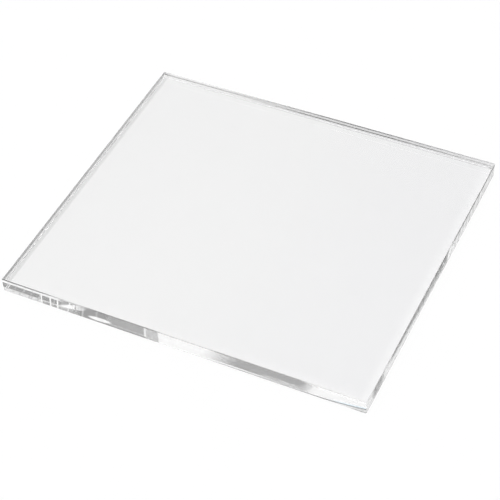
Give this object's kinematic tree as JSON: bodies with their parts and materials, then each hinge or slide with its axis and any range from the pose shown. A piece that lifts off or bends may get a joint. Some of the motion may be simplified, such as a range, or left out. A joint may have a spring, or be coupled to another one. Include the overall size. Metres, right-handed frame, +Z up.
{
  "type": "clear acrylic sheet",
  "caption": "Flat rectangular sheet of thick clear acrylic with polished edges, small bevelled arrises and square corners.",
  "frame": {"origin": "middle of the underside, on the surface that the sheet lies on", "axes": "+X along the long side, +Y along the short side, +Z up through the thickness, out of the top face"},
  "size_m": [0.2286, 0.2032, 0.0095],
  "materials": {
    "clear_acrylic": "polished"
  },
  "bodies": {
    "root": {"acrylic_sheet": "clear_acrylic"}
  },
  "joints": []
}
